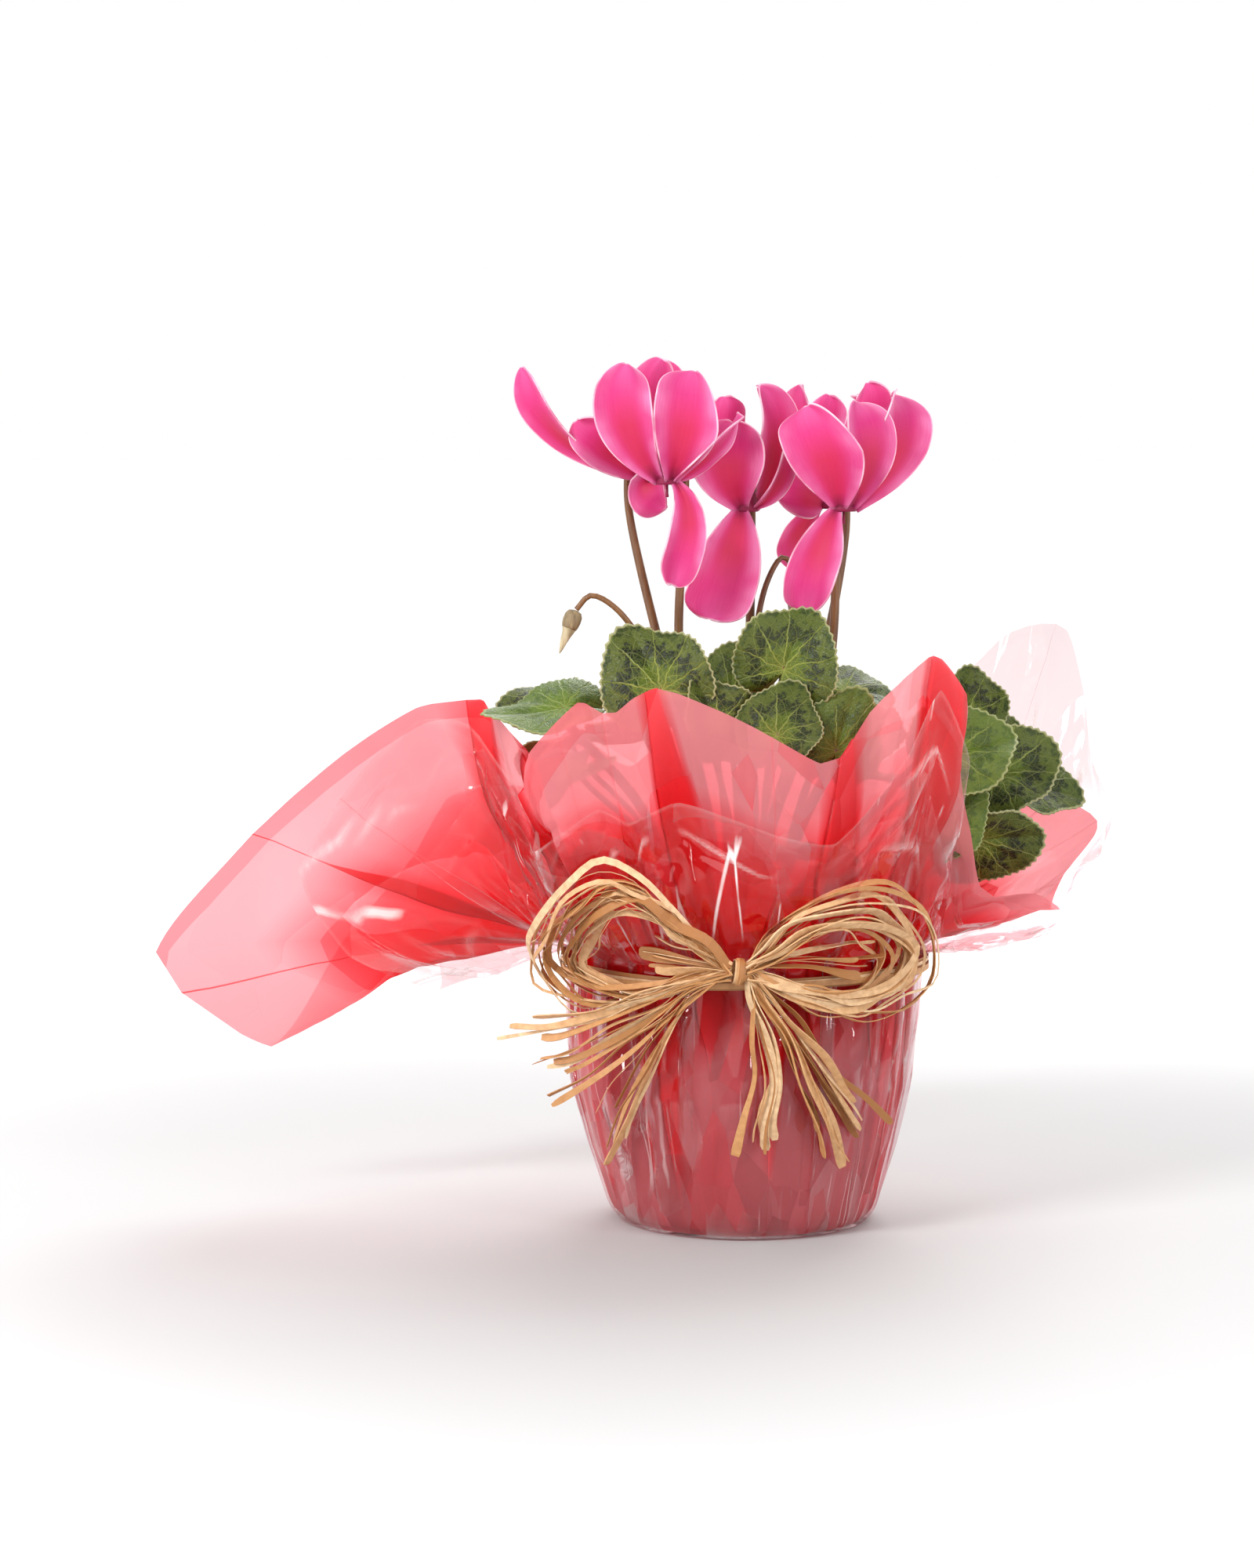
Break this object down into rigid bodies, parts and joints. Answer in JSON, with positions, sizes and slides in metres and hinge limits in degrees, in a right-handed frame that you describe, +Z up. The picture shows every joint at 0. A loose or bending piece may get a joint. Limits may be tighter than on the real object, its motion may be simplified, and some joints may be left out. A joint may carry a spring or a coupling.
{
  "type": "potted cyclamen",
  "caption": "Flowering cyclamen with marbled leaves in a nursery pot, wrapped in flared coloured and clear film, gathered at the rim and tied with a raffia bow.",
  "frame": {"origin": "middle of the flat underside of the wrapped pot, where it stands", "axes": "+Z up along the pot's axis, -Y towards the front with the raffia bow, +X to the right as seen from the front"},
  "size_m": [0.3565, 0.2264, 0.3153],
  "materials": {
    "pot": "thermoformed terracotta-brown plastic",
    "soil": "dark peat compost, treated as loose plant matter",
    "corm": "rough brown skin of the tuber",
    "leaf": "satin leaf, silver marbling, fine toothed margin",
    "stalk": "satin brown-red stem",
    "petal": "velvety magenta-pink petal",
    "bud": "beige-green closed bud",
    "film_red": "frosted translucent red film, pleated",
    "film_clear": "clear glossy cellophane, creased",
    "raffia": "natural raffia fibre, straw brown"
  },
  "bodies": {
    "root": {"pot": "pot", "soil": "soil", "corm": "corm", "leaf_01": "leaf", "leaf_02": "leaf", "leaf_03": "leaf", "leaf_04": "leaf", "leaf_05": "leaf", "leaf_06": "leaf", "leaf_07": "leaf", "leaf_08": "leaf", "leaf_09": "leaf", "leaf_10": "leaf", "leaf_11": "leaf", "leaf_12": "leaf", "leaf_13": "leaf", "leaf_14": "leaf", "leaf_15": "leaf", "leaf_16": "leaf", "leaf_17": "leaf", "leaf_18": "leaf", "leaf_19": "leaf", "leaf_20": "leaf", "leaf_21": "leaf", "leaf_22": "leaf", "leaf_23": "leaf", "leaf_24": "leaf", "leaf_25": "leaf", "leaf_26": "leaf", "leaf_27": "leaf", "stalk_front_left": "stalk", "stalk_back_left": "stalk", "stalk_middle": "stalk", "stalk_front_right": "stalk", "stalk_back_right": "stalk", "bloom_front_left": "petal", "bloom_back_left": "petal", "bloom_middle": "petal", "bloom_front_right": "petal", "bloom_back_right": "petal", "bud_stalk_left": "stalk", "bud_left": "bud", "bud_stalk_middle": "stalk", "bud_middle": "bud", "bud_stalk_low": "stalk", "bud_low": "bud", "film_red": "film_red", "film_clear": "film_clear", "raffia_tie": "raffia", "raffia_knot": "raffia", "raffia_left": "raffia", "raffia_right": "raffia"}
  },
  "joints": []
}
